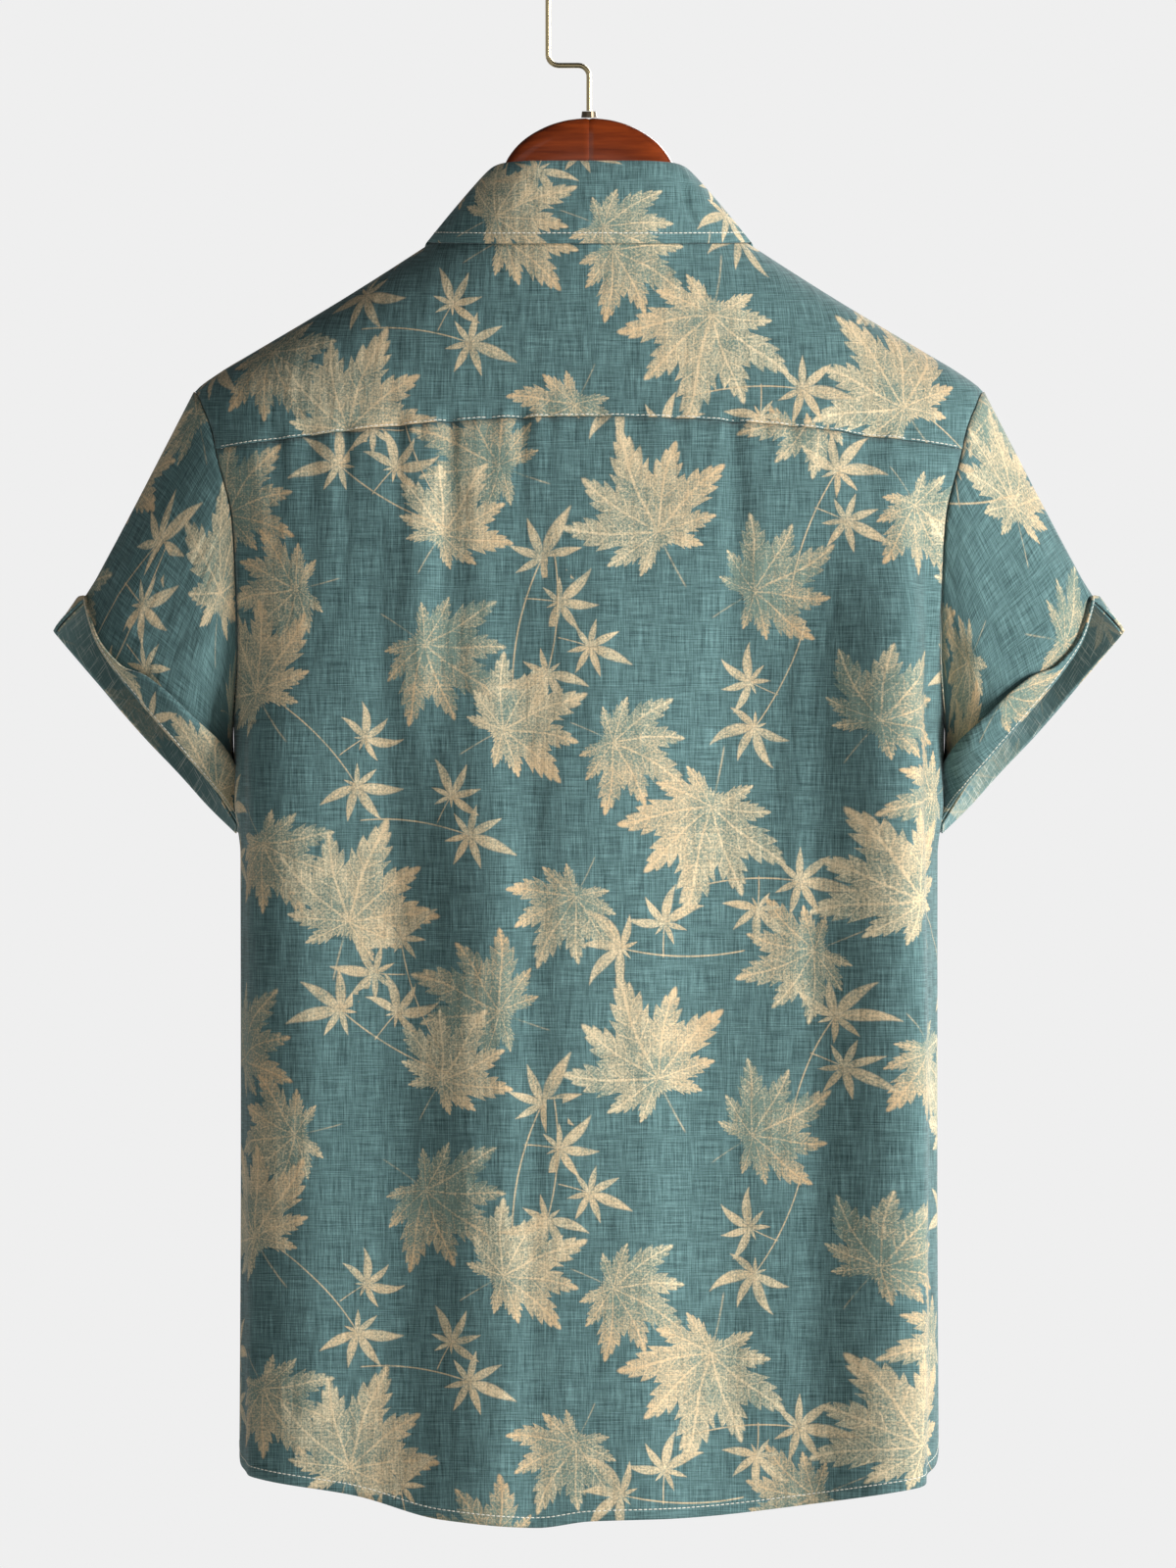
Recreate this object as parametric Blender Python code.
"""A short-sleeved shirt with turned-up cuffs, buttoned up and hung on a wooden hanger.

Shapes are worked out in millimetres and built in metres. +Z is up, the wearer's left is +X and
the fronts face -Y. The origin is the inside top of the hook's bend. "drop" is the distance below
it, and "turn" goes once round the body: 0 at the left side, 0.25 at the centre back, 0.5 at the
right side and -0.25 or 0.75 at the centre front.
"""

import math
from collections import namedtuple

import bmesh
import bpy
import numpy as np

MM = 0.001

# ---------------------------------------------------------------- driving sizes, in millimetres
CLOTH = 1.2  # wall of a single panel
DOUBLED_CLOTH = 1.5  # wall of the placket, the collar and the cuffs
SEAM_GAP = 0.35  # between two pieces that are sewn together
NECK_DROP = 155.0  # neck seam across the back and the sides
FRONT_NECK_DROP = 232.0  # neck seam at the centre front
SHOULDER_DROP = 254.0  # shoulder tip
ARMPIT_DROP = 449.0
ARMHOLE_DEPTH = (44.0, 46.0)  # how far the armhole reaches to the back and to the front
PLACKET_HALF_WIDTH = 17.5
LAP = 15.0  # how far the right front runs on under the left one
CUFF_HEIGHT = 26.0
BUTTON_RADIUS = 5.7
BUTTON_THICKNESS = 2.6
WIRE_RADIUS = 1.55
HOOK_RADIUS = 24.0  # centre line of the hook's round bend
MIDDLE_BACK, SIDE_TO_SIDE = 0.25, 0.5  # in turns

# Level sections of the body. Between the neck and the shoulder tip, half_width is the shoulder
# line. From there to the armpit it is the width that the section would have without its armholes.
Section = namedtuple("Section", "drop half_width back front square")
BODY = (
    Section(153.0, 72.0, 44.0, 46.0, 2.0),
    Section(165.5, 90.5, 49.0, 49.0, 2.0),
    Section(200.0, 144.5, 57.0, 57.0, 2.0),
    Section(232.0, 198.2, 63.0, 62.0, 2.0),
    Section(242.4, 215.6, 65.0, 64.0, 2.0),
    Section(254.0, 230.6, 67.5, 66.5, 2.05),
    Section(265.0, 236.0, 70.0, 69.0, 2.15),
    Section(287.0, 237.5, 74.0, 73.0, 2.3),
    Section(326.0, 227.5, 79.0, 79.0, 2.6),
    Section(358.0, 221.5, 81.0, 82.0, 2.7),
    Section(392.0, 214.0, 83.0, 85.0, 2.8),
    Section(420.0, 209.0, 84.0, 87.0, 2.8),
    Section(449.0, 204.2, 84.0, 88.0, 2.8),
    Section(515.0, 203.4, 83.0, 89.0, 2.8),
    Section(700.0, 203.6, 81.0, 88.0, 2.7),
    Section(876.0, 204.6, 84.0, 90.0, 2.6),
    Section(930.0, 204.8, 85.0, 91.0, 2.6),
)

# The largest folds. depth is outwards, so a trough is negative, and lean is how far the fold's
# foot stands along from its head, in turns.
Fold = namedtuple("Fold", "turn head foot width depth lean")
BODY_FOLDS = (
    Fold(0.105, 420.0, 960.0, 25.0, 3.5, -0.006),
    Fold(0.148, 290.0, 960.0, 30.0, -5.0, 0.008),
    Fold(0.205, 285.0, 560.0, 15.0, -2.5, 0.004),
    Fold(0.235, 420.0, 960.0, 30.0, 3.0, -0.010),
    Fold(0.300, 470.0, 960.0, 28.0, -3.5, 0.012),
    Fold(0.355, 430.0, 960.0, 26.0, 3.0, 0.0),
    Fold(0.405, 290.0, 960.0, 24.0, -5.0, 0.004),
    Fold(0.455, 500.0, 960.0, 20.0, 2.5, 0.0),
    Fold(0.555, 440.0, 960.0, 24.0, -4.0, 0.010),
    Fold(0.620, 480.0, 960.0, 26.0, 3.5, -0.008),
    Fold(0.675, 400.0, 960.0, 20.0, -3.5, -0.004),
    Fold(0.820, 420.0, 960.0, 20.0, -3.5, 0.006),
    Fold(0.875, 500.0, 960.0, 26.0, 3.5, 0.008),
    Fold(0.940, 440.0, 960.0, 24.0, -4.0, -0.012),
)

# Broad folds down the back: a positive height is a crest and a negative one a trough. left and
# right are its reach either side of x, and it grows from its head to its full height at full.
BroadFold = namedtuple("BroadFold", "x left right height head full")
BROAD_FOLDS = (
    BroadFold(54.0, 74.0, 24.0, 7.0, 390.0, 560.0),
    BroadFold(130.0, 56.0, 72.0, -9.0, 360.0, 560.0),
    BroadFold(-178.0, 50.0, 20.0, 24.0, 285.0, 400.0),
    BroadFold(-100.0, 90.0, 76.0, -18.0, 320.0, 440.0),
    BroadFold(192.0, 10.0, 54.0, 6.0, 400.0, 470.0),
)

# Front half of the neck seam, from the shoulder line down to the centre front.
NeckPoint = namedtuple("NeckPoint", "x drop")
FRONT_NECK = (
    NeckPoint(74.6, 155.0),
    NeckPoint(74.4, 158.0),
    NeckPoint(72.5, 165.0),
    NeckPoint(68.0, 180.0),
    NeckPoint(57.0, 200.0),
    NeckPoint(40.0, 217.0),
    NeckPoint(20.0, 228.5),
    NeckPoint(0.0, 232.0),
)

# Curved shirt-tail hem.
HemPoint = namedtuple("HemPoint", "turn drop")
HEM = (
    HemPoint(0.000, 872.0),
    HemPoint(0.022, 882.0),
    HemPoint(0.060, 890.0),
    HemPoint(0.110, 898.0),
    HemPoint(0.165, 912.0),
    HemPoint(0.220, 916.5),
    HemPoint(0.250, 912.8),
    HemPoint(0.300, 911.2),
    HemPoint(0.375, 904.0),
    HemPoint(0.430, 894.5),
    HemPoint(0.470, 882.5),
    HemPoint(0.500, 872.0),
    HemPoint(0.535, 885.0),
    HemPoint(0.600, 899.0),
    HemPoint(0.680, 906.0),
    HemPoint(0.750, 907.0),
    HemPoint(0.820, 906.0),
    HemPoint(0.900, 899.0),
    HemPoint(0.965, 885.0),
    HemPoint(1.000, 872.0),
)

# Collar. reach is 0 at the centre back and 1 at the centre front. The roll is its top edge, and
# the leaf's edge is given by where it crosses the body below it.
CollarSection = namedtuple("CollarSection", "reach roll_x roll_y roll_drop leaf_x leaf_drop bulge")
COLLAR = (
    CollarSection(0.00, 0.0, 43.0, 122.4, 0.0, 168.0, 5.0),
    CollarSection(0.22, 30.0, 41.0, 122.4, 45.0, 168.0, 5.0),
    CollarSection(0.38, 49.0, 31.0, 123.4, 77.0, 167.5, 4.0),
    CollarSection(0.50, 57.5, 10.0, 127.5, 91.8, 166.5, 2.0),
    CollarSection(0.60, 55.5, -14.0, 141.0, 95.0, 182.0, 6.0),
    CollarSection(0.72, 47.0, -33.0, 160.0, 91.0, 206.0, 11.0),
    CollarSection(0.84, 32.0, -48.0, 181.0, 78.0, 231.0, 11.0),
    CollarSection(0.93, 15.0, -58.0, 196.0, 61.0, 251.0, 9.0),
    CollarSection(1.00, 0.0, -61.0, 203.0, 45.0, 266.0, 8.0),
)

# Left sleeve's open end. at is 0 at its outer end and 1 at the underarm. The back edge shows
# nearer than the front one, which hangs past it. band is the height of the turn-up on each side.
SleeveEnd = namedtuple(
    "SleeveEnd",
    "at back_x back_drop back_y front_x front_drop front_y knee_x knee_drop back_band",
)
SLEEVE_END = (
    SleeveEnd(0.00, 294.6, 377.0, 5.0, 314.8, 393.4, -15.0, 291.6, 375.0, 3.0),
    SleeveEnd(0.15, 287.6, 399.5, 22.0, 299.0, 411.6, -40.0, 284.5, 391.5, 3.0),
    SleeveEnd(0.30, 275.6, 418.6, 31.0, 283.0, 430.4, -52.0, 270.5, 407.5, 6.0),
    SleeveEnd(0.42, 263.6, 433.4, 35.0, 271.0, 445.0, -57.0, 258.5, 421.0, 15.0),
    SleeveEnd(0.55, 249.8, 449.6, 36.0, 257.0, 460.8, -58.0, 245.0, 436.0, 19.0),
    SleeveEnd(0.70, 234.0, 468.2, 33.0, 240.0, 478.8, -54.0, 229.5, 455.0, 20.5),
    SleeveEnd(0.85, 219.6, 486.8, 24.0, 223.6, 496.6, -41.0, 216.5, 473.0, 21.5),
    SleeveEnd(1.00, 207.8, 508.0, 2.0, 207.8, 512.5, -9.0, 208.0, 486.0, 24.0),
)
OUTER_CORNER = 0.30  # radians over which the front edge comes round to the back one

# Troughs of the sleeve. angle is 0 along its top and 90 along the middle of its back.
SleeveFold = namedtuple("SleeveFold", "angle head foot width depth lean")
SLEEVE_FOLDS = (
    SleeveFold(140.0, 0.15, 1.3, 17.0, -7.0, -14.0),
    SleeveFold(108.0, 0.25, 1.1, 12.0, 2.5, -20.0),
    SleeveFold(74.0, 0.20, 1.2, 16.0, -2.5, -10.0),
    SleeveFold(222.0, 0.15, 1.3, 17.0, -7.0, 14.0),
    SleeveFold(285.0, 0.25, 1.2, 18.0, -3.0, 12.0),
)

BUTTON_DROPS = (296.0, 386.0, 476.0, 566.0, 656.0, 746.0)

# Left arm of the hanger. Its top follows the dome, then the underside of the shoulder line.
ArmSection = namedtuple("ArmSection", "x top bottom half_thickness")
HANGER_ARM = (
    ArmSection(0.2, 93.9, 148.0, 7.5),
    ArmSection(10.0, 94.6, 148.0, 7.5),
    ArmSection(20.0, 96.9, 148.5, 7.5),
    ArmSection(30.0, 101.2, 149.0, 7.5),
    ArmSection(39.0, 107.2, 150.0, 7.5),
    ArmSection(47.0, 116.4, 151.5, 7.5),
    ArmSection(52.0, 127.6, 153.5, 7.5),
    ArmSection(56.0, 142.0, 156.0, 7.5),
    ArmSection(60.0, 151.6, 160.0, 7.6),
    ArmSection(67.0, 157.0, 165.5, 7.8),
    ArmSection(80.0, 164.0, 174.0, 8.0),
    ArmSection(110.0, 181.6, 193.0, 8.8),
    ArmSection(150.0, 206.0, 223.0, 10.2),
    ArmSection(190.0, 229.6, 252.0, 12.0),
    ArmSection(209.0, 241.6, 264.0, 12.6),
    ArmSection(216.0, 248.0, 264.0, 9.0),
    ArmSection(219.0, 253.0, 261.0, 4.0),
)
ARM_SECTION_POINTS = 14
ARM_SECTION_SQUARE = 2.6

Finish = namedtuple("Finish", "colour roughness metallic")
FINISHES = {
    "printed_cloth": Finish((0.063, 0.141, 0.147), 0.9, 0.0),
    "shell_button": Finish((0.50, 0.42, 0.30), 0.35, 0.0),
    "stained_wood": Finish((0.25, 0.045, 0.012), 0.3, 0.0),
    "plated_wire": Finish((0.60, 0.53, 0.41), 0.28, 1.0),
}


# ---------------------------------------------------------------- tables and curves
def smooth(xs, ys, x):
    """A monotone cubic through a table's points, so that no section overshoots its neighbours."""
    xs, ys, x = (np.asarray(values, float) for values in (xs, ys, x))
    step = np.diff(xs)
    slope = np.diff(ys) / step
    before, after = slope[:-1], slope[1:]
    same = before * after > 0
    inner = np.where(same, 2 * before * after / np.where(same, before + after, 1.0), 0.0)
    tangent = np.concatenate([slope[:1], inner, slope[-1:]])
    left = np.clip(np.searchsorted(xs, x, side="right") - 1, 0, len(step) - 1)
    t = np.clip((x - xs[left]) / step[left], 0.0, 1.0)
    rise, run = ys[left + 1] - ys[left], step[left]
    start, end = tangent[left] * run, tangent[left + 1] * run
    return ys[left] + t * (start + t * (3 * rise - 2 * start - end + t * (start + end - 2 * rise)))


def column(table, name):
    return [getattr(row, name) for row in table]


def look_up(table, key, name, where):
    return smooth(column(table, key), column(table, name), where)


def ease(t):
    """0 below 0, 1 above 1 and a smooth step between."""
    t = np.clip(t, 0.0, 1.0)
    return t * t * (3 - 2 * t)


# ---------------------------------------------------------------- body surface
QUARTER_STEPS = 121


def quarter_sections(drop, back):
    """For each level, points from the side to the middle: share of the way round, x and y."""
    sizes = {name: look_up(BODY, "drop", name, drop)[:, None] for name in Section._fields[1:]}
    depth = np.where(back[:, None], sizes["back"], sizes["front"])
    angle = np.linspace(0.0, math.pi / 2, QUARTER_STEPS)[None, :]
    power = 2 / sizes["square"]
    x = sizes["half_width"] * np.clip(np.cos(angle), 0, 1) ** power
    y = depth * np.clip(np.sin(angle), 0, 1) ** power
    walked = np.cumsum(np.hypot(np.diff(x, axis=1), np.diff(y, axis=1)), axis=1)
    walked = np.concatenate([np.zeros((len(drop), 1)), walked], axis=1)
    return walked, x, y


def section_share(drop, y):
    """Turn on the left half where the section at this drop has this y."""
    drop, y = (np.atleast_1d(np.asarray(v, float)) for v in np.broadcast_arrays(drop, y))
    walked, _, ys = quarter_sections(drop, y >= 0)
    share = [np.interp(abs(a), b, c) / c[-1] for a, b, c in zip(y, ys, walked)]
    return np.array(share) * np.where(y >= 0, MIDDLE_BACK, -MIDDLE_BACK)


def turn_at_x(drop, x):
    """Turn on the left front where the section at this drop has this x."""
    drop, x = (np.atleast_1d(np.asarray(v, float)) for v in np.broadcast_arrays(drop, x))
    walked, xs, _ = quarter_sections(drop, np.zeros(len(drop), bool))
    share = [np.interp(-a, -b, c) / c[-1] for a, b, c in zip(x, xs, walked)]
    return -MIDDLE_BACK * np.array(share)


def quarter_length(drop, back):
    drop = np.atleast_1d(np.asarray(drop, float))
    return quarter_sections(drop, np.full(len(drop), back))[0][:, -1]


def smooth_body(turn, drop):
    """The body without its folds, and the direction out of it in plan."""
    flat_turn, flat_drop = turn.ravel(), drop.ravel()
    turn_left = (flat_turn + 0.25) % 1.0 - 0.25
    right = turn_left > MIDDLE_BACK
    turn_left = np.where(right, SIDE_TO_SIDE - turn_left, turn_left)
    walked, xs, ys = quarter_sections(flat_drop, turn_left >= 0)
    share = np.abs(turn_left) / MIDDLE_BACK
    x = np.array([np.interp(s * c[-1], c, b) for s, c, b in zip(share, walked, xs)])
    y = np.array([np.interp(s * c[-1], c, b) for s, c, b in zip(share, walked, ys)])
    x, y = x * np.where(right, -1, 1), y * np.where(turn_left >= 0, 1, -1)
    return np.stack([x, y, -flat_drop], axis=-1).reshape(turn.shape + (3,))


def folds(turn, drop):
    total = np.zeros(turn.shape)
    girth = 4 * 255.0
    for fold in BODY_FOLDS:
        down = (drop - fold.head) / (fold.foot - fold.head)
        away = (turn - fold.turn - fold.lean * down + 0.5) % 1.0 - 0.5
        total += fold.depth * ease(3 * down) * ease(3 - 3 * down) * np.exp(
            -((away * girth / fold.width) ** 2)
        )
    x = smooth_body(turn, drop)[..., 0]
    on_back = (turn % 1.0) < SIDE_TO_SIDE
    for fold in BROAD_FOLDS:
        away = np.abs(x - fold.x) / np.where(x > fold.x, fold.left, fold.right)
        grown = ease((drop - fold.head) / (fold.full - fold.head))
        total += on_back * fold.height * grown * (1 - ease(away))
    return total


def body(turn, drop, lift=0.0):
    """Outer face of the cloth round the body, moved out by its folds and by lift."""
    turn, drop = (np.array(v, float) for v in np.broadcast_arrays(turn, drop))
    out = outward(smooth_body, turn, drop)
    return smooth_body(turn, drop) + out * (folds(turn, drop) + lift)[..., None]


def outward(surface, across, down):
    """Unit normals of a surface from small steps either way."""
    small = 0.002
    by_across = surface(across + small, down) - surface(across - small, down)
    by_down = surface(across, down + small) - surface(across, down - small)
    normal = np.cross(by_down, by_across)
    return normal / np.linalg.norm(normal, axis=-1, keepdims=True)


# ---------------------------------------------------------------- seam lines
def armhole(angle):
    """Turn and drop of the left armhole seam. angle is 0 at the shoulder and pi at the armpit."""
    middle = (SHOULDER_DROP + ARMPIT_DROP) / 2
    drop = middle - (ARMPIT_DROP - SHOULDER_DROP) / 2 * np.cos(angle)
    depth = np.where(np.sin(angle) >= 0, ARMHOLE_DEPTH[0], ARMHOLE_DEPTH[1])
    y = np.sign(np.sin(angle)) * depth * np.abs(np.sin(angle)) ** 0.8
    return section_share(drop, y), drop


def armhole_turn(drop, back):
    """How far the armhole reaches from the side at this drop, in turns."""
    drop = np.atleast_1d(np.asarray(drop, float))
    middle = (SHOULDER_DROP + ARMPIT_DROP) / 2
    cosine = np.clip((middle - drop) * 2 / (ARMPIT_DROP - SHOULDER_DROP), -1, 1)
    y = ARMHOLE_DEPTH[0 if back else 1] * np.sqrt(1 - cosine**2) ** 0.8
    return np.abs(section_share(drop, y if back else -y - 1e-9))


def yoke_seam_drop(turn):
    """Seam between the yoke and the back panel: it falls a little towards the armholes."""
    x = smooth_body(turn, np.full(np.shape(turn), 280.0))[..., 0]
    return 269.3 + 19.0 * (x / 218.0) ** 2


def hem_drop(turn):
    return look_up(HEM, "turn", "drop", turn % 1.0)


def front_neck_turn(drop):
    return turn_at_x(drop, look_up(FRONT_NECK[:-1], "drop", "x", drop))


def neck_line(turn):
    """Turn and drop on the body below each turn of the collar."""
    reach = np.abs(turn - MIDDLE_BACK) / SIDE_TO_SIDE
    down = ease((reach - 0.5) * 2 / 1.3) / ease(1 / 1.3)
    front_drop = NECK_DROP + (FRONT_NECK_DROP - NECK_DROP) * np.clip(down, 0, 1)
    x = look_up(FRONT_NECK, "drop", "x", front_drop)
    front_turn = turn_at_x(front_drop.ravel(), x.ravel()).reshape(x.shape)
    left = np.where(reach <= 0.5, MIDDLE_BACK - reach * SIDE_TO_SIDE, front_turn)
    drop = np.where(reach <= 0.5, NECK_DROP, front_drop)
    return np.where(turn <= MIDDLE_BACK, left, SIDE_TO_SIDE - left), drop


# ---------------------------------------------------------------- sleeve and cuff surfaces
def sleeve_end(angle, name):
    """A column of the sleeve's end round the loop: 'edge' points or 'knee' points."""
    angle = np.asarray(angle, float) % (2 * math.pi)
    on_back = angle <= math.pi
    at = (1 - np.cos(angle)) / 2
    found = {field: look_up(SLEEVE_END, "at", field, at) for field in SleeveEnd._fields[1:]}
    back = np.stack([found["back_x"], found["back_y"], -found["back_drop"]], axis=-1)
    front = np.stack([found["front_x"], found["front_y"], -found["front_drop"]], axis=-1)
    corner = ease((angle - (2 * math.pi - OUTER_CORNER)) / OUTER_CORNER)[..., None]
    edge = np.where(on_back[..., None], back, front * (1 - corner) + back * corner)
    if name == "edge":
        return edge
    start = sleeve_start(angle)
    along = start - edge
    along /= np.linalg.norm(along, axis=-1, keepdims=True)
    straight = edge + along * CUFF_HEIGHT
    knee = np.stack([found["knee_x"], straight[..., 1], -found["knee_drop"]], axis=-1)
    return np.where(on_back[..., None], straight, knee * (1 - corner) + straight * corner)


def sleeve_start(angle):
    turn, drop = armhole(np.asarray(angle, float).ravel())
    point = body(turn, drop) + np.array([SEAM_GAP + 0.4, 0.0, 0.0])
    return point.reshape(np.shape(angle) + (3,))


def sleeve(angle, along):
    """Left sleeve. along is 0 at the armhole, 1 at the top of the cuff and 2 at the open end."""
    angle, along = (np.array(v, float) for v in np.broadcast_arrays(angle, along))
    start, knee, edge = sleeve_start(angle), sleeve_end(angle, "knee"), sleeve_end(angle, "edge")
    upper, lower = np.clip(along, None, 1)[..., None], np.clip(along - 1, 0, None)[..., None]
    point = start + (knee - start) * upper + (edge - knee) * lower
    side = np.sin(angle)
    swell = np.sin(math.pi * np.clip(along / 2, 0, 1)) * 7.0
    push = side * np.abs(side) * swell
    degrees = np.degrees(angle) % 360
    for fold in SLEEVE_FOLDS:
        down = (along - fold.head) / (fold.foot - fold.head)
        away = (degrees - fold.angle - fold.lean * down + 180) % 360 - 180
        push = push + np.sign(side) * fold.depth * ease(2 * down) * ease(2 - 2 * down) * np.exp(
            -((away / fold.width) ** 2)
        )
    point[..., 1] += push
    return point


def cuff(angle, along):
    """Left turn-up, outside the sleeve. along is 0 at its free edge and 1 at the fold."""
    angle, along = (np.array(v, float) for v in np.broadcast_arrays(angle, along))
    wrapped = angle % (2 * math.pi)
    band = look_up(SLEEVE_END, "at", "back_band", (1 - np.cos(wrapped)) / 2)
    front_share = ease(-np.sin(wrapped) / math.sin(OUTER_CORNER))
    height = band * (1 - front_share) + CUFF_HEIGHT * front_share
    on_sleeve = 2 - (1 - along) * height / CUFF_HEIGHT
    ends = np.clip(3 * np.abs(np.sin(wrapped)), 0, 1)  # the turn-up lies flat at its two ends
    proud = (0.4 + 2.6 * (1 - along)) * ends * (0.35 + 0.65 * height / CUFF_HEIGHT)
    out = outward(sleeve, angle, on_sleeve)
    return sleeve(angle, on_sleeve) + out * (SEAM_GAP + 0.45 + DOUBLED_CLOTH + proud)[..., None]


def mirrored(surface):
    """The same surface on the wearer's right."""

    def other_side(angle, along):
        return surface(-np.asarray(angle, float), along) * np.array([-1.0, 1.0, 1.0])

    return other_side


# ---------------------------------------------------------------- collar surfaces
def collar_roll(turn):
    reach = np.abs(turn - MIDDLE_BACK) / SIDE_TO_SIDE
    past = np.clip(reach - 1, 0, None)
    reach = 1 - np.abs(1 - reach)
    side = np.where((turn <= MIDDLE_BACK) ^ (past > 0), 1, -1)
    x = look_up(COLLAR, "reach", "roll_x", reach) * side
    y = look_up(COLLAR, "reach", "roll_y", reach)
    return np.stack([x, y, -look_up(COLLAR, "reach", "roll_drop", reach)], axis=-1)


def collar_stand(turn, down):
    """down is 0 at the roll and 1 at the neck seam."""
    turn, down = (np.array(v, float) for v in np.broadcast_arrays(turn, down))
    past = np.abs(turn - MIDDLE_BACK) - SIDE_TO_SIDE > 0
    folded = np.where(past, np.where(turn < 0, -0.5 - turn, 1.5 - turn), turn)
    neck_turn, neck_drop = neck_line(folded)
    neck_turn = np.where(past, SIDE_TO_SIDE - neck_turn, neck_turn)
    foot = smooth_body(neck_turn, neck_drop) + np.array([0.0, 0.0, SEAM_GAP + 0.9])
    top = collar_roll(turn)
    point = top + (foot - top) * down[..., None]
    inside = ease((turn - (0.75 - 0.075)) / 0.05)  # the right end runs under the left one
    centre = np.array([0.0, -5.0, 0.0])
    away = (point - centre) * np.array([1.0, 1.0, 0.0])
    away /= np.linalg.norm(away, axis=-1, keepdims=True)
    return point - away * inside[..., None] * (DOUBLED_CLOTH + 0.55)


def collar_fall(turn, down):
    """down is 0 above the stand's top edge and 1 at the leaf's edge."""
    turn, down = (np.array(v, float) for v in np.broadcast_arrays(turn, down))
    reach = np.abs(turn - MIDDLE_BACK) / SIDE_TO_SIDE
    side = np.where(turn <= MIDDLE_BACK, 1.0, -1.0)
    roll = collar_roll(turn)
    away = roll * np.array([1.0, 1.0, 0.0]) - np.array([0.0, -5.0, 0.0])
    away /= np.linalg.norm(away, axis=-1, keepdims=True)
    up = np.array([0.0, 0.0, 1.0])
    leaf_x = look_up(COLLAR, "reach", "leaf_x", reach)
    leaf_drop = look_up(COLLAR, "reach", "leaf_drop", reach)
    half_width = look_up(BODY, "drop", "half_width", leaf_drop)
    on_back = reach < 0.5
    leaf_y = np.where(on_back, 1, -1) * np.where(
        on_back,
        look_up(BODY, "drop", "back", leaf_drop),
        look_up(BODY, "drop", "front", leaf_drop),
    ) * np.sqrt(np.clip(1 - (leaf_x / half_width) ** 2, 0, None))
    leaf = np.stack([leaf_x * side, leaf_y, -leaf_drop], axis=-1)
    leaf_out = np.stack([leaf_x * side / half_width**2, leaf_y / 60.0**2, 0.006 + 0 * leaf_x], axis=-1)
    leaf_out /= np.linalg.norm(leaf_out, axis=-1, keepdims=True)
    leaf = leaf + leaf_out * (DOUBLED_CLOTH + 2.1)
    bulge = look_up(COLLAR, "reach", "bulge", reach)[..., None]
    start = roll + up * (DOUBLED_CLOTH + 1.2) - away * 0.6
    bend = roll + away * (bulge + 0.5) + up * (DOUBLED_CLOTH + 2.6)
    t = down[..., None]
    return start * (1 - t) ** 2 + 2 * bend * t * (1 - t) + leaf * t**2


# ---------------------------------------------------------------- building
def finish(name):
    material = bpy.data.materials.get(name)
    if material is None:
        material = bpy.data.materials.new(name)
        material.use_nodes = True
        shader = material.node_tree.nodes["Principled BSDF"]
        look = FINISHES[name]
        shader.inputs["Base Color"].default_value = (*look.colour, 1.0)
        shader.inputs["Roughness"].default_value = look.roughness
        shader.inputs["Metallic"].default_value = look.metallic
    return material


def add_object(name, mesh, material):
    mesh.materials.append(finish(material))
    mesh.shade_smooth()
    mesh.set_sharp_from_angle(angle=math.radians(50))
    obj = bpy.data.objects.new(name, mesh)
    bpy.context.scene.collection.objects.link(obj)
    return obj


def wall(name, surface, across, down, thickness=CLOTH, closed=False, keep=None):
    """A panel of cloth: the surface at a grid of places, the same moved in, and its rims."""
    outer = surface(across, down)
    inner = outer - outward(surface, across, down) * thickness
    rows, columns = across.shape
    cells = []
    for row in range(rows - 1):
        for first in range(columns if closed else columns - 1):
            if keep is None or keep(row, first):
                second = (first + 1) % columns
                cells.append([(row, first), (row + 1, first), (row + 1, second), (row, second)])
    bm = bmesh.new()
    used = sorted({corner for cell in cells for corner in cell})
    front = {key: bm.verts.new(outer[key] * MM) for key in used}
    back = {key: bm.verts.new(inner[key] * MM) for key in used}
    edges = set()
    for cell in cells:
        edges.update(zip(cell, cell[1:] + cell[:1]))
        a, b, c, d = (outer[key] for key in cell)
        if np.linalg.norm(a - c) > np.linalg.norm(b - d):  # split along the shorter diagonal
            cell = cell[1:] + cell[:1]
        for three in (cell[:3], [cell[0], cell[2], cell[3]]):
            bm.faces.new([front[key] for key in three])
            bm.faces.new([back[key] for key in reversed(three)])
    for start, end in edges:
        if (end, start) not in edges:
            bm.faces.new([front[end], front[start], back[start], back[end]])
    mesh = bpy.data.meshes.new(name)
    bm.to_mesh(mesh)
    bm.free()
    return add_object(name, mesh, "printed_cloth")


def spread(first, last, count):
    """Rows of numbers from each first to each last value."""
    share = np.linspace(0.0, 1.0, count)[None, :]
    first, last = (np.atleast_1d(np.asarray(v, float))[:, None] for v in (first, last))
    return first * (1 - share) + last * share


# ---------------------------------------------------------------- pieces of cloth
# Rows and columns are shared across the seams, so that the facets either side of one agree.
BACK_COLUMNS = 25
STRIP_COLUMNS = 3  # of the yoke, from its front seam to the shoulder line
STRIP_FOOT = 9.0  # width of that strip at the armhole
YOKE_FRONT_START = 183.0  # where the yoke's front seam leaves the neck
YOKE_DROPS = (155.0, 165.0, 174.0, 184.5, 198.0, 213.0, 228.6, 243.0, 254.0)
YOKE_LOWER_SHARES = (0.1, 0.45, 1.0)  # from the shoulder tip to the yoke's back seam
BACK_SHARES = (0.0, 0.13, 0.27, 0.42, 0.57, 0.71, 0.83, 0.92, 0.975, 1.0)  # on to the armpit
LOWER_SHARES = (0.03, 0.13, 0.25, 0.38, 0.52, 0.66, 0.8, 0.91, 1.0)  # on to the hem


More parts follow.
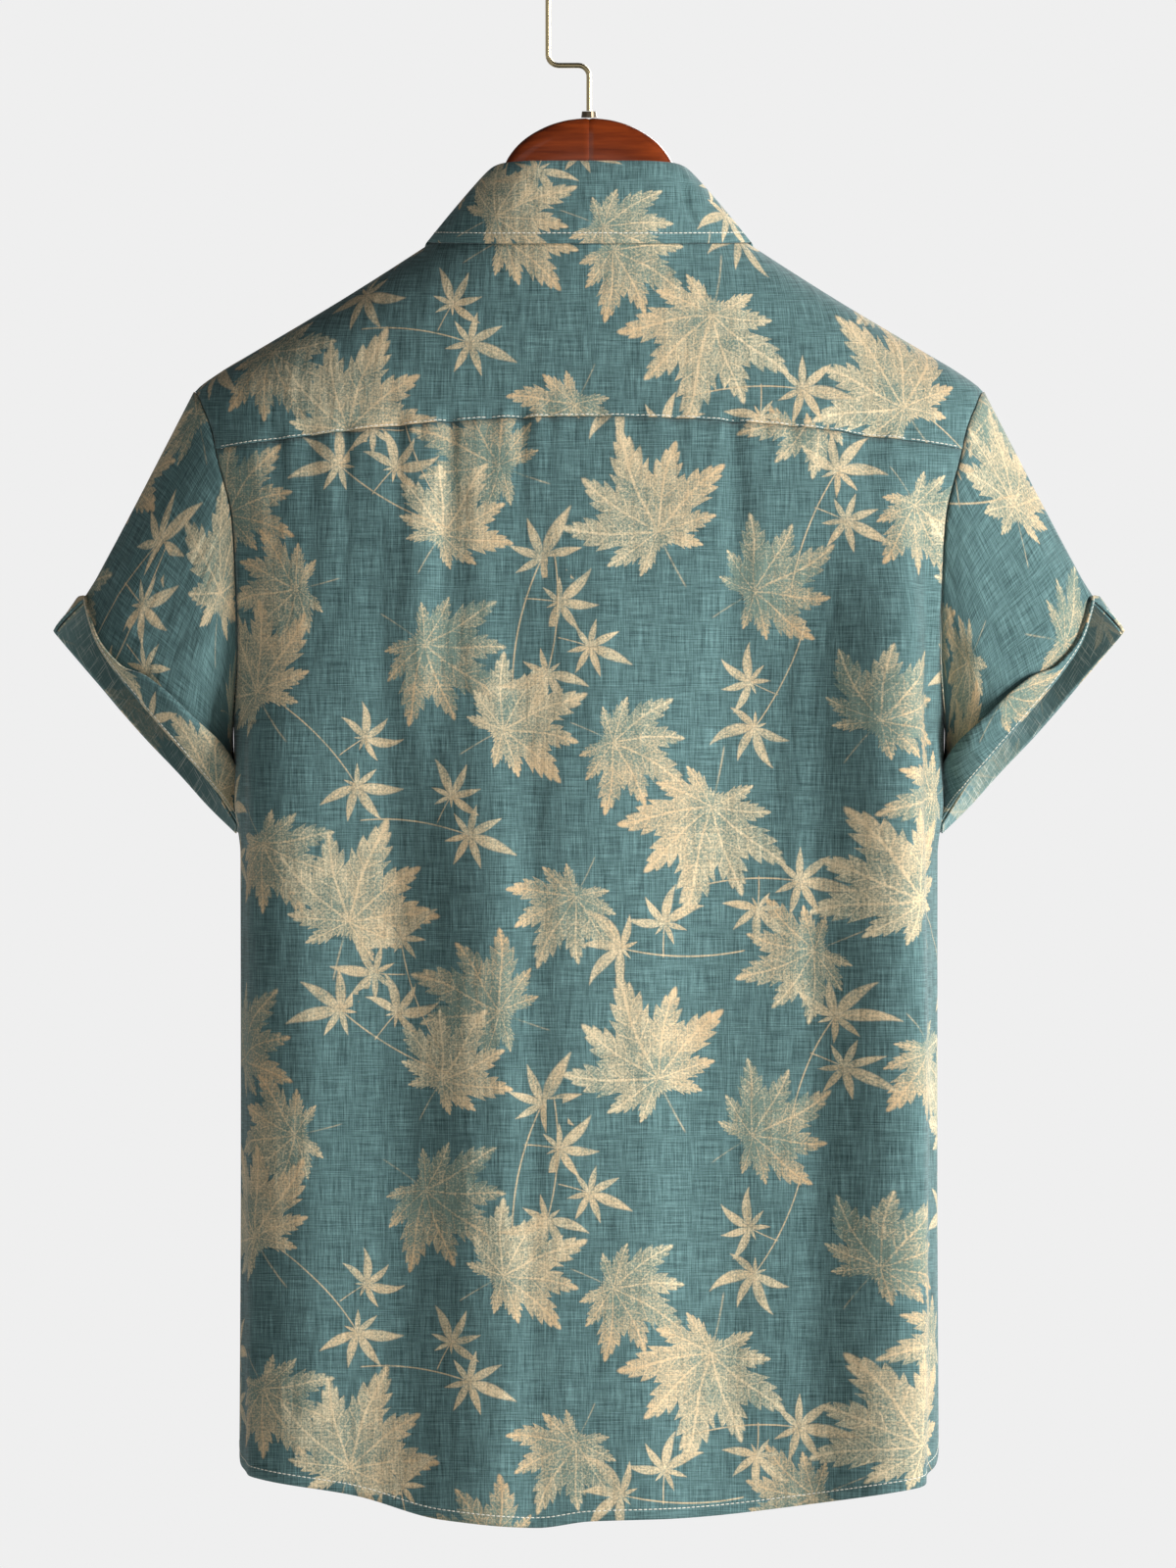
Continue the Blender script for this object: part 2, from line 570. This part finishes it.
def yoke_front_turn(drop):
    """The yoke's edge on the left front: the neck line, then the seam to the shoulder tip."""
    start = YOKE_FRONT_START
    from_ridge = front_neck_turn(start)[0] * 4 * quarter_length(start, False)[0]
    share = np.clip((drop - start) / (SHOULDER_DROP - start), 0, 1)
    seam = (from_ridge * (1 - share) - STRIP_FOOT * share) / (4 * quarter_length(drop, False))
    return np.where(drop <= start, front_neck_turn(np.minimum(drop, start)), seam)


def between_armholes(start_drop, end_drop, share):
    """A row of the back from one armhole to the other, share of the way between two lines."""
    line = np.linspace(0.0, SIDE_TO_SIDE, BACK_COLUMNS)
    for _ in range(5):  # the row's ends lie on the armhole, which depends on their drop
        start, end = start_drop(line), end_drop(line)
        drop = start + (end - start) * share
        reach = armhole_turn(drop[:1], True)[0] + gap_in_turns(drop[0])
        line = np.linspace(reach, SIDE_TO_SIDE - reach, BACK_COLUMNS)
    return line, drop


def level(drop):
    return lambda line: np.full(len(line), drop)


def yoke_lower_rows():
    def seam(line):
        return yoke_seam_drop(line) - SEAM_GAP / 2

    return [between_armholes(level(SHOULDER_DROP), seam, share) for share in YOKE_LOWER_SHARES]


def back_upper_rows():
    def seam(line):
        return yoke_seam_drop(line) + SEAM_GAP / 2

    return [between_armholes(seam, level(ARMPIT_DROP), share) for share in BACK_SHARES]


def make_yoke():
    upper = np.array(YOKE_DROPS)
    strip = spread(yoke_front_turn(upper), 0 * upper, STRIP_COLUMNS + 1)[:, :-1]
    across_back = spread(0 * upper, 0 * upper + SIDE_TO_SIDE, BACK_COLUMNS)
    turns = np.concatenate([strip, across_back, SIDE_TO_SIDE - strip[:, ::-1]], axis=1)
    drops = np.repeat(upper[:, None], turns.shape[1], axis=1)
    pad = np.zeros(STRIP_COLUMNS)
    for line, drop in yoke_lower_rows():
        turns = np.vstack([turns, np.concatenate([pad, line, pad + SIDE_TO_SIDE])])
        drops = np.vstack([drops, np.concatenate([pad + drop[0], drop, pad + drop[-1]])])
    last = turns.shape[1] - 1 - STRIP_COLUMNS

    def keep(row, col):
        return row < len(YOKE_DROPS) - 1 or STRIP_COLUMNS <= col < last

    wall("back_yoke", body, turns, drops, keep=keep)


def gap_in_turns(drop, gap=SEAM_GAP / 2):
    return gap / (4 * float(quarter_length(drop, True)[0]))


def make_back():
    rows = back_upper_rows()
    side = gap_in_turns(ARMPIT_DROP)
    line = np.linspace(side, SIDE_TO_SIDE - side, BACK_COLUMNS)
    for share in LOWER_SHARES:
        rows.append((line, ARMPIT_DROP + (hem_drop(line) - ARMPIT_DROP) * share))
    turns, drops = zip(*rows)
    wall("back_panel", body, np.array(turns), np.array(drops))


FRONT_COLUMNS = 13
NECK_DROPS = (184.5, 198.0, 206.0, 213.0, 221.5, 228.6, 231.6, 233.2, 243.0)
ARMHOLE_DROPS = (254.8, 258.4, 268.0, 284.0, 306.0, 334.0, 366.0, 397.0, 423.0, 440.0, 449.0)
LAP_COLUMNS = {  # from the centre front, where the neck line runs out into the lap
    228.6: (18.3, 19.6, 21.0, 35.0),
    231.6: (7.5, 9.5, 19.2, 34.7),
}


def front_row(drop, lap):
    """Turns of a row of the left front, its edge lap millimetres past the centre front."""
    small = gap_in_turns(drop)
    if drop < SHOULDER_DROP:
        outer = yoke_front_turn(np.array([drop]))[0] - 3 * small
    else:
        outer = -armhole_turn(drop, False)[0] - small
    if drop not in LAP_COLUMNS and drop < FRONT_NECK_DROP:
        inner = turn_at_x(drop, look_up(FRONT_NECK, "drop", "x", drop))[0] + 2 * small
        return np.linspace(min(inner, outer - 6 * small), outer, FRONT_COLUMNS)
    columns = LAP_COLUMNS.get(drop, (-lap, 0.0, 18.5, 34.5))
    near = [-MIDDLE_BACK + gap_in_turns(drop, x) for x in columns]
    return np.concatenate([near[:-1], np.linspace(near[-1], outer, FRONT_COLUMNS - 3)])


def front_grid(lap):
    rows = [(front_row(d, lap), np.full(FRONT_COLUMNS, d)) for d in NECK_DROPS + ARMHOLE_DROPS]
    line = front_row(ARMPIT_DROP, lap)
    for share in LOWER_SHARES:
        rows.append((line, ARMPIT_DROP + (hem_drop(line) - ARMPIT_DROP) * share))
    turns, drops = zip(*rows)
    return np.array(turns), np.array(drops)


def make_fronts():
    turns, drops = front_grid(PLACKET_HALF_WIDTH)
    wall("left_front", body, turns, drops)
    under = CLOTH + SEAM_GAP + 0.15

    def tucked(turn, drop):
        """The right front: its edge steps in to pass under the left one."""
        from_middle = (turn - 0.75) * 4 * quarter_length(600.0, False)[0]
        return body(turn, drop, -under * ease((from_middle + 34.0) / 14.0))

    turns, drops = front_grid(LAP)
    wall("right_front", tucked, SIDE_TO_SIDE - turns[:, ::-1], drops[:, ::-1])


def placket(turn, drop):
    return body(turn, drop, DOUBLED_CLOTH + SEAM_GAP)


def make_placket():
    rows = []
    for drop in NECK_DROPS[-2:] + ARMHOLE_DROPS:
        reach = gap_in_turns(drop, PLACKET_HALF_WIDTH)
        rows.append((np.array([0.75 - reach, 0.75, 0.75 + reach]), np.full(3, drop)))
    line = rows[-1][0]
    for share in LOWER_SHARES:
        rows.append((line, ARMPIT_DROP + (hem_drop(line) - ARMPIT_DROP) * share))
    turns, drops = zip(*rows)
    wall("button_placket", placket, np.array(turns), np.array(drops), DOUBLED_CLOTH)


COLLAR_COLUMNS = 33


def grid(across, down):
    """A grid of every pair of the two lists, a row for each of the second."""
    return np.meshgrid(np.asarray(across, float), np.asarray(down, float))


def make_collar():
    lap = 0.022  # past the centre front at each end, in turns
    middle = np.linspace(-0.25, 0.75, COLLAR_COLUMNS)
    turns = np.concatenate([[-0.25 - lap], middle, [0.75 + lap]])
    wall("collar_stand", collar_stand, *grid(turns, (0.0, 0.5, 1.0)), DOUBLED_CLOTH)
    tip = 0.012
    turns = np.linspace(-0.25 + tip, 0.75 - tip, COLLAR_COLUMNS)
    downs = (0.0, 0.09, 0.19, 0.33, 0.55, 0.78, 1.0)
    wall("collar_fall", collar_fall, *grid(turns, downs), DOUBLED_CLOTH)


SLEEVE_SHARES = (0.0, 0.16, 0.36, 0.58, 0.8, 1.0, 1.5, 2.0)


def sleeve_angles():
    """The armhole's angles at the rows of the yoke and the back, then up the front's rows."""
    rows = yoke_lower_rows()[:-1] + back_upper_rows()
    back = [SHOULDER_DROP] + [drop[0] for _, drop in rows]
    middle = (SHOULDER_DROP + ARMPIT_DROP) / 2
    half = (ARMPIT_DROP - SHOULDER_DROP) / 2
    drops = np.array(back), np.array(ARMHOLE_DROPS[-2::-1])
    down, up = (np.arccos(np.clip((middle - d) / half, -1, 1)) for d in drops)
    return np.concatenate([down, 2 * math.pi - up])


def make_sleeves():
    angles = sleeve_angles()
    sides = (("left", 1, lambda surface: surface), ("right", -1, mirrored))
    for side, way, turned in sides:
        around = angles if way > 0 else -angles[::-1]
        loop = grid(around, SLEEVE_SHARES)
        wall(f"{side}_sleeve", turned(sleeve), *loop, closed=True)
        loop = grid(around, (0.0, 0.5, 1.0))
        wall(f"{side}_cuff", turned(cuff), *loop, DOUBLED_CLOTH, closed=True)


# ---------------------------------------------------------------- buttons
def button_mesh():
    """A disc turned from half its profile, with a raised rim."""
    rim, well = BUTTON_RADIUS * 0.72, 0.45
    profile = (
        (0.0, 0.0), (BUTTON_RADIUS * 0.8, 0.0), (BUTTON_RADIUS, 0.8),
        (BUTTON_RADIUS, BUTTON_THICKNESS - 0.5), (BUTTON_RADIUS * 0.88, BUTTON_THICKNESS),
        (rim, BUTTON_THICKNESS - well), (0.0, BUTTON_THICKNESS - well),
    )
    bm = bmesh.new()
    points = [bm.verts.new((r * MM, 0.0, z * MM)) for r, z in profile]
    edges = [bm.edges.new(pair) for pair in zip(points, points[1:])]
    bmesh.ops.spin(
        bm, geom=points + edges, cent=(0, 0, 0), axis=(0, 0, 1), angle=2 * math.pi,
        steps=18, use_merge=True,
    )
    bmesh.ops.remove_doubles(bm, verts=bm.verts, dist=1e-6)
    bmesh.ops.recalc_face_normals(bm, faces=bm.faces)
    mesh = bpy.data.meshes.new("button")
    bm.to_mesh(mesh)
    bm.free()
    return mesh


def set_button(name, mesh, surface, turn, down):
    """Seats a button on a surface, its face turned out."""
    turn, down = np.array([turn]), np.array([down])
    out = outward(surface, turn, down)[0]
    button = add_object(name, mesh.copy(), "shell_button")
    seat = (surface(turn, down)[0] + out * (SEAM_GAP + 0.1)) * MM
    button.location = seat.tolist()
    button.rotation_euler = (math.acos(out[2]), 0.0, math.atan2(out[0], -out[1]))


def make_buttons():
    mesh = button_mesh()
    for number, drop in enumerate(BUTTON_DROPS, 1):
        set_button(f"button_{number}", mesh, placket, 0.75, drop)
    set_button("collar_button", mesh, collar_stand, -0.25, 0.5)


# ---------------------------------------------------------------- hanger
def ring_points(section):
    """Rounded section of the arm in the plane x = section.x."""
    angle = np.linspace(0, 2 * math.pi, ARM_SECTION_POINTS, endpoint=False)
    power = 2 / ARM_SECTION_SQUARE
    y = section.half_thickness * np.sign(np.cos(angle)) * np.abs(np.cos(angle)) ** power
    z = np.sign(np.sin(angle)) * np.abs(np.sin(angle)) ** power
    middle, half = (section.top + section.bottom) / 2, (section.bottom - section.top) / 2
    return [(section.x, float(a), float(b * half - middle)) for a, b in zip(y, z)]


def make_arm(name, side):
    bm = bmesh.new()
    rings = []
    for section in HANGER_ARM:
        ring = [bm.verts.new((x * side * MM, y * MM, z * MM)) for x, y, z in ring_points(section)]
        rings.append(ring)
    for first, second in zip(rings, rings[1:]):
        for a, b, c, d in zip(first, first[1:] + first[:1], second[1:] + second[:1], second):
            bm.faces.new((a, b, c, d))
    bm.faces.new(rings[0])
    bm.faces.new(rings[-1][::-1])
    bmesh.ops.recalc_face_normals(bm, faces=bm.faces)
    mesh = bpy.data.meshes.new(name)
    bm.to_mesh(mesh)
    bm.free()
    add_object(name, mesh, "stained_wood")


NUT_RADIUS, NUT_TOP, NUT_BOTTOM = 4.6, 89.9, 93.5


def make_nut():
    bm = bmesh.new()
    bmesh.ops.create_cone(
        bm, cap_ends=True, segments=20, radius1=NUT_RADIUS * MM, radius2=NUT_RADIUS * MM * 0.9,
        depth=(NUT_BOTTOM - NUT_TOP) * MM,
    )
    bmesh.ops.translate(bm, verts=bm.verts, vec=(0, 0, -(NUT_TOP + NUT_BOTTOM) / 2 * MM))
    mesh = bpy.data.meshes.new("hanger_nut")
    bm.to_mesh(mesh)
    bm.free()
    add_object("hanger_nut", mesh, "plated_wire")


CRANK_DROP, CRANK_BEND = 63.0, 6.3


def arc(centre, radius, start, end, count):
    """Points in the plane y = 0 on an arc, angles in degrees from +X towards +Z."""
    angles = np.radians(np.linspace(start, end, count))
    return [(centre[0] + radius * math.cos(a), centre[1] + radius * math.sin(a)) for a in angles]


def hook_route():
    """Up from the nut, out along the crank, up again and round over the origin."""
    centre = (0.0, WIRE_RADIUS - HOOK_RADIUS)
    bend = CRANK_BEND
    route = [(0.0, -NUT_TOP + SEAM_GAP), (0.0, -80.0)]
    route += arc((bend, -CRANK_DROP - bend), bend, 180, 90, 7)
    route += arc((HOOK_RADIUS - bend, -CRANK_DROP + bend), bend, 270, 360, 7)
    route += [(HOOK_RADIUS, -40.0)]
    route += arc(centre, HOOK_RADIUS, 0, 160, 26)
    last = route[-1]
    away = math.radians(250)
    tail = 7.0
    route += [(last[0] + tail * t * math.cos(away), last[1] + tail * t * math.sin(away)) for t in (0.5, 1)]
    return route


def make_hook():
    route = hook_route()
    curve = bpy.data.curves.new("hanger_hook", "CURVE")
    curve.dimensions = "3D"
    curve.bevel_depth = WIRE_RADIUS * MM
    curve.bevel_resolution = 3
    curve.use_fill_caps = True
    spline = curve.splines.new("POLY")
    spline.points.add(len(route) - 1)
    for point, (x, z) in zip(spline.points, route):
        point.co = (x * MM, 0.0, z * MM, 1.0)
    spline.use_smooth = True
    curve.materials.append(finish("plated_wire"))
    bpy.context.scene.collection.objects.link(bpy.data.objects.new("hanger_hook", curve))


def main():
    for obj in list(bpy.data.objects):
        bpy.data.objects.remove(obj)
    make_yoke()
    make_back()
    make_fronts()
    make_placket()
    make_collar()
    make_sleeves()
    make_buttons()
    make_arm("hanger_left_arm", 1)
    make_arm("hanger_right_arm", -1)
    make_nut()
    make_hook()


main()
